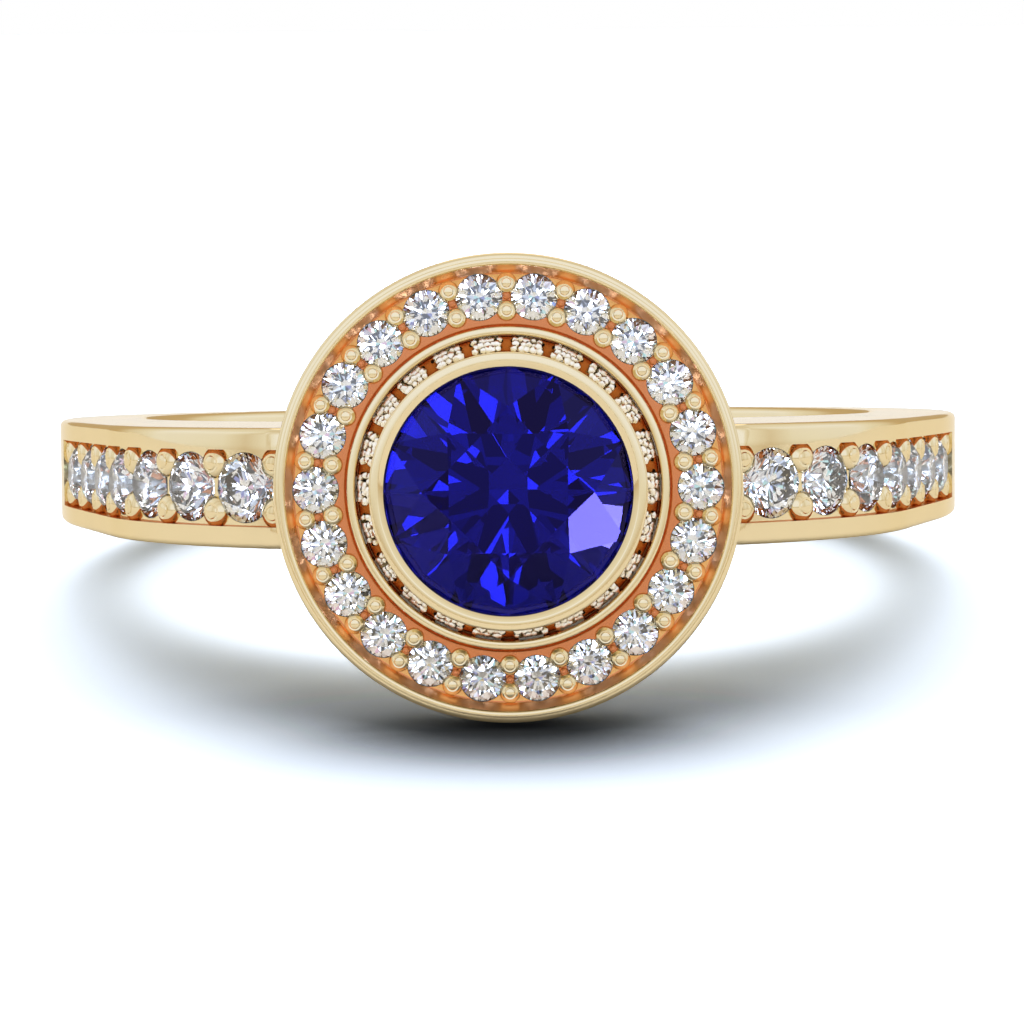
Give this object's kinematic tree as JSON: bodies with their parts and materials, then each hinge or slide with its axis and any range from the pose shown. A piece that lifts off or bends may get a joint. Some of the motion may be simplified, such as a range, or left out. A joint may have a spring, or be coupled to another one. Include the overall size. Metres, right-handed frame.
{
  "type": "engagement ring",
  "caption": "Engagement ring with a round blue centre stone in a bezel, a halo of small stones and a bead-set channel along each tapered shoulder of the band.",
  "frame": {"origin": "centre of the finger hole, at the middle of the band's width", "axes": "+Z along the finger; the head with the centre stone faces -Y; +X to one side of the band"},
  "size_m": [0.0206, 0.0258, 0.0086],
  "materials": {
    "gold": "polished",
    "diamond": "polished",
    "sapphire": "polished"
  },
  "bodies": {
    "root": {"shank": "gold", "gallery_basket": "gold", "centre_bezel": "gold", "halo_frame": "gold", "centre_sapphire": "sapphire", "halo_diamond_01": "diamond", "halo_diamond_02": "diamond", "halo_diamond_03": "diamond", "halo_diamond_04": "diamond", "halo_diamond_05": "diamond", "halo_diamond_06": "diamond", "halo_diamond_07": "diamond", "halo_diamond_08": "diamond", "halo_diamond_09": "diamond", "halo_diamond_10": "diamond", "halo_diamond_11": "diamond", "halo_diamond_12": "diamond", "halo_diamond_13": "diamond", "halo_diamond_14": "diamond", "halo_diamond_15": "diamond", "halo_diamond_16": "diamond", "halo_diamond_17": "diamond", "halo_diamond_18": "diamond", "halo_diamond_19": "diamond", "halo_diamond_20": "diamond", "halo_diamond_21": "diamond", "halo_diamond_22": "diamond", "left_shank_diamond_1": "diamond", "left_shank_diamond_2": "diamond", "left_shank_diamond_3": "diamond", "left_shank_diamond_4": "diamond", "left_shank_diamond_5": "diamond", "left_shank_diamond_6": "diamond", "left_shank_diamond_7": "diamond", "right_shank_diamond_1": "diamond", "right_shank_diamond_2": "diamond", "right_shank_diamond_3": "diamond", "right_shank_diamond_4": "diamond", "right_shank_diamond_5": "diamond", "right_shank_diamond_6": "diamond", "right_shank_diamond_7": "diamond"}
  },
  "joints": []
}
